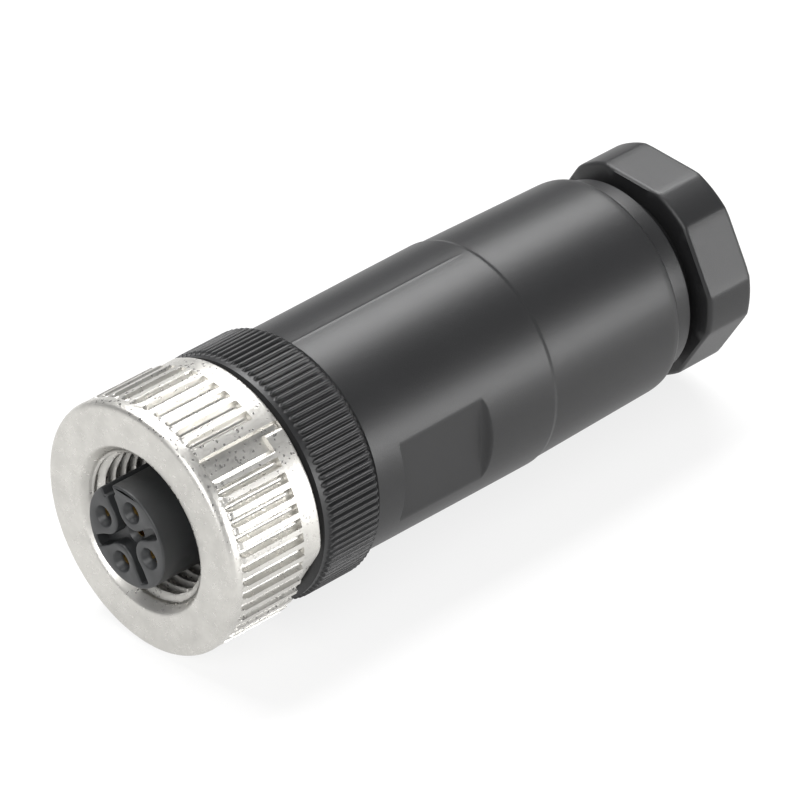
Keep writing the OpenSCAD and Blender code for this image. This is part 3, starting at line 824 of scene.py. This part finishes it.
def gland_nut(p):
    """Gland nut with its hexagon, edge rounds, thread and flared entry."""
    edge, corner = 0.45, 8.76
    ends = (0.01, 0.05, 0.12, 0.22, 0.34, 0.46, 0.6)
    xs = [HEAD_X + v for v in ends] + span(50.3, 53.1, 0.7) + [GLAND_END - v for v in reversed(ends)]
    threads = span(43.5, 48.9, 0.0834)
    profile = [(GLAND_FRONT, 4.2), (GLAND_FRONT, 6.4)]
    first_thread = len(profile)
    profile += [(x, 6.8) for x in threads] + [(49.0, 6.6), (HEAD_X, 6.6), (HEAD_X, 7.4)]
    first = len(profile)
    profile += [(x, corner) for x in xs]
    last = len(profile)
    profile += [(GLAND_END, 7.2), (GLAND_END, 5.4), (GLAND_END, 5.1), (53.9, 4.92), (53.2, 4.24), (52.9, 4.2)]
    clocks = []
    for k in range(6):
        middle = HEX_CLOCK + 60 * k
        clocks += span(middle - 18.5, middle + 18.5, 3.7) + span(middle + 19.2, middle + 22.4, 0.4)
        clocks += span(middle + 24.2, middle + 35.8, 1.9) + span(middle + 37.6, middle + 40.8, 0.4)

    def relief(k, x, r, clock):
        if first <= k < last:
            a = (clock - HEX_CLOCK + 30) % 60 - 30
            hexagon = HEX_HALF / math.cos(math.radians(a))
            # The ends are domed as a turned blank is, so the flats end in shallow arcs.
            end = min(x - HEAD_X, GLAND_END - x)
            dome = corner - edge + math.sqrt(max(edge ** 2 - max(edge - end, 0.0) ** 2, 0.0))
            soft = hexagon - 0.16 * (1 - smooth_step(end, 0.0, 0.3)) ** 2
            return x, soft_min(soft_min(corner, soft, 0.1), dome, 0.08)
        if first_thread <= k < first_thread + len(threads):
            return x, r - p["thread_depth"] * (1 - thread_share(x, clock)) * smooth_step(x, 43.4, 43.8)
        return x, r

    return turned(profile, clocks, relief)


def grommet(low, high):
    """Rubber sleeve with rounded ends and fine sealing ribs in its bore."""
    r, bore = high.z, GROMMET_BORE
    profile = [(low.x, bore + 0.4), (low.x, r - 0.15), (low.x + 0.15, r), (high.x - 0.6, r),
               (high.x - 0.2, r - 0.25), (high.x, r - 0.55), (high.x, bore + 0.1), (high.x - 0.1, bore)]
    profile += [(high.x - 0.3 - GROMMET_RIB * i, bore + GROMMET_RIB - GROMMET_RIB * math.cos(i * math.pi / 3))
                for i in range(1, 24)]
    return turned(profile + [(low.x + 0.4, bore)], span(0, 360, 3)[:-1])


class M12_OT_cable_gland(bpy.types.Operator):
    """Gland nut, clamp cage, rubber grommet and thrust washer"""
    bl_idname = "m12.cable_gland"
    bl_label = "Cable gland"

    def execute(self, context):
        colours = context.scene.m12_colours
        verts, faces = gland_nut(sizes(context, "m12_body"))
        piece("gland_nut_hexagon", "gland_nut", ["gland_nut"], verts, faces,
              [black_polyamide(colours)], 32.0)
        low, high = (Vector(c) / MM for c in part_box("cable_grommet"))
        verts, faces = grommet(low, high)
        piece("grommet_rubber", "clamp_unit", ["cable_grommet"], verts, faces,
              [seal_rubber(colours)])
        dress_node("clamp_cage", moulded_plastic("acetal_moulded", colours.acetal, 0.38, 0.2, 0.006))
        dress_node("thrust_washer", plated_metal("washer_steel_zinc_plated", colours.washer, 0.4))
        return {"FINISHED"}


# Terminals

class M12_OT_terminals(bpy.types.Operator):
    """Contacts, terminal block and terminal screws"""
    bl_idname = "m12.terminals"
    bl_label = "Terminals"

    def execute(self, context):
        colours = context.scene.m12_colours
        gold = plated_metal("brass_gold_plated", colours.gold, 0.24)
        steel = plated_metal("steel_zinc_plated", colours.steel, 0.32)
        for i in range(1, 6):
            dress_node(f"contact_{i}", gold)
            dress_node(f"terminal_screw_{i}", steel)
        dress_node("terminal_block",
                   moulded_plastic("grey_polyamide_moulded", colours.grey, 0.45, 0.2, 0.01))
        return {"FINISHED"}


# Stage

VIEW = Vector((0.5666, 0.5994, -0.5654))
VIEW_UP = Vector((0.3884, 0.4109, 0.8248))
CAMERA_AT = Vector((-0.2433, -0.2846, 0.2677))
LENS, SENSOR = 289.8, 36.0
FLOOR_GLOW, FLOOR_REACH = 0.8, 4.0


def area_light(name, direction, distance, size, power):
    """Soft box that faces the connector from a direction."""
    data = bpy.data.lights.new(name, "AREA")
    data.shape = "RECTANGLE"
    data.size, data.size_y = size
    data.energy = power
    obj = bpy.data.objects.new(name, data)
    bpy.context.scene.collection.objects.link(obj)
    out = Vector(direction).normalized()
    target = Vector((0.025, 0.0, 0.0))
    side = out.cross(Vector((1, 0, 0))).normalized()
    along = side.cross(out).normalized()
    turn = Matrix((along, side, out)).transposed()
    obj.matrix_world = Matrix.Translation(target + out * distance) @ turn.to_4x4()


def floor_material(colours):
    """White paper floor that stays white behind the connector and keeps a faint shadow."""
    material, tree, output, _ = new_material("white_paper_floor")
    if not tree:
        return material
    diffuse = add_node(tree, "ShaderNodeBsdfDiffuse", {"Color": tuple(colours.floor)})
    path = add_node(tree, "ShaderNodeLightPath")
    seen = add_node(tree, "ShaderNodeMath", {"operation": "MAXIMUM"},
                    {0: path.outputs["Is Camera Ray"], 1: path.outputs["Is Glossy Ray"]})
    seen = add_node(tree, "ShaderNodeMath", {"operation": "MAXIMUM"},
                    {0: seen.outputs["Value"], 1: path.outputs["Is Transmission Ray"]})
    share = add_node(tree, "ShaderNodeMath", {"operation": "MULTIPLY", 1: FLOOR_GLOW},
                     {0: seen.outputs["Value"]})
    glow = add_node(tree, "ShaderNodeEmission", {"Color": (1.0, 1.0, 1.0, 1.0), "Strength": 1.0})
    mixed = add_node(tree, "ShaderNodeMixShader", None,
                     {0: share.outputs["Value"], 1: diffuse.outputs["BSDF"], 2: glow.outputs["Emission"]})
    tree.links.new(mixed.outputs["Shader"], output.inputs["Surface"])
    return material


class M12_OT_stage(bpy.types.Operator):
    """Pale floor, soft studio light and camera"""
    bl_idname = "m12.stage"
    bl_label = "Stage"

    def execute(self, context):
        scene = context.scene
        scene.view_settings.view_transform = "Standard"
        data = bpy.data.cameras.new("camera")
        data.lens, data.sensor_width = LENS, SENSOR
        data.clip_start, data.clip_end = 0.01, 20.0
        camera = bpy.data.objects.new("camera", data)
        scene.collection.objects.link(camera)
        right = VIEW.cross(VIEW_UP).normalized()
        up = right.cross(VIEW).normalized()
        camera.matrix_world = Matrix.Translation(CAMERA_AT) \
            @ Matrix((right, up, -VIEW)).transposed().to_4x4()
        scene.camera = camera

        reach, bm = FLOOR_REACH, bmesh.new()
        corners = [bm.verts.new((x, y, FLOOR_Z)) for x, y in
                   ((-reach, -reach), (reach, -reach), (reach, reach), (-reach, reach))]
        bm.faces.new(corners)
        mesh = bpy.data.meshes.new("floor")
        bm.to_mesh(mesh)
        bm.free()
        floor = bpy.data.objects.new("floor", mesh)
        mesh.materials.append(floor_material(scene.m12_colours))
        scene.collection.objects.link(floor)

        area_light("overhead_box", (0.2, 0.42, 0.88), 0.6, (0.75, 0.28), 7.0)
        area_light("side_box", (0.56, -0.82, 0.14), 0.7, (0.3, 0.22), 2.6)
        area_light("front_box", (-0.75, -0.35, 0.55), 0.8, (0.5, 0.5), 4.0)
        world = bpy.data.worlds.new("studio_room")
        world.use_nodes = True
        tree = world.node_tree
        tree.nodes.clear()
        room = add_node(tree, "ShaderNodeBackground", {"Color": linear("#b9babc"), "Strength": 0.55})
        out = add_node(tree, "ShaderNodeOutputWorld")
        tree.links.new(room.outputs["Background"], out.inputs["Surface"])
        scene.world = world
        return {"FINISHED"}


OPERATORS = (M12_OT_stage, M12_OT_coupling_nut, M12_OT_contact_insert, M12_OT_grip_ring, M12_OT_seals,
             M12_OT_barrel, M12_OT_cable_gland, M12_OT_terminals)
GROUPS = {"m12_nut": M12NutSizes, "m12_insert": M12InsertSizes, "m12_body": M12BodySizes,
          "m12_colours": M12Colours}


class M12_PT_panel(bpy.types.Panel):
    """Lists the pieces of the connector"""
    bl_idname = "M12_PT_panel"
    bl_label = "M12 socket"
    bl_space_type = "VIEW_3D"
    bl_region_type = "UI"
    bl_category = "M12 socket"

    def draw(self, context):
        for operator in OPERATORS:
            self.layout.operator(operator.bl_idname)
        for group, kind in GROUPS.items():
            box = self.layout.box()
            box.label(text=kind.__doc__)
            for name in kind.__annotations__:
                box.prop(getattr(context.scene, group), name)


def register():
    for kind in (*GROUPS.values(), *OPERATORS, M12_PT_panel):
        bpy.utils.register_class(kind)
    for name, kind in GROUPS.items():
        setattr(bpy.types.Scene, name, bpy.props.PointerProperty(type=kind))


def unregister():
    for name in GROUPS:
        delattr(bpy.types.Scene, name)
    for kind in reversed((*GROUPS.values(), *OPERATORS, M12_PT_panel)):
        bpy.utils.unregister_class(kind)


def main():
    register()
    bpy.ops.m12.stage()
    bpy.ops.m12.coupling_nut()
    bpy.ops.m12.contact_insert()
    bpy.ops.m12.grip_ring()
    bpy.ops.m12.seals()
    bpy.ops.m12.barrel()
    bpy.ops.m12.cable_gland()
    bpy.ops.m12.terminals()


if __name__ == "__main__":
    main()
